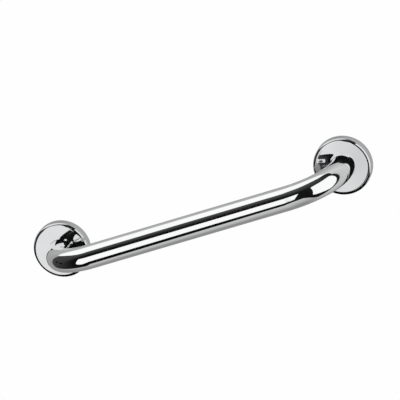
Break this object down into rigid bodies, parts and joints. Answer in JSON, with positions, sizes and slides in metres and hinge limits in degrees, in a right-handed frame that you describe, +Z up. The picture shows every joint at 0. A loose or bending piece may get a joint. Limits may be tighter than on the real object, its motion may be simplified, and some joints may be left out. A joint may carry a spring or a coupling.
{
  "type": "grab bar",
  "caption": "Straight chrome grab bar whose tube bends back to the wall at each end into a round wall plate, hidden by a pressed slide-on cover.",
  "frame": {"origin": "on the wall, midway between the centres of the two wall plates", "axes": "+X along the bar, +Y into the wall, so the bar stands off on the -Y side, +Z up"},
  "size_m": [0.375, 0.0775, 0.06],
  "materials": {
    "tube_chrome": "bright chrome plate on polished steel tube",
    "cover_chrome": "bright chrome plate on pressed steel sheet",
    "plate_steel": "stamped stainless steel, mill finish",
    "weld_steel": "weld metal, as laid and wire-brushed"
  },
  "bodies": {
    "root": {"bar_tube": "tube_chrome", "left_wall_plate": "plate_steel", "right_wall_plate": "plate_steel", "left_weld_bead": "weld_steel", "right_weld_bead": "weld_steel", "left_cover": "cover_chrome", "right_cover": "cover_chrome"}
  },
  "joints": []
}
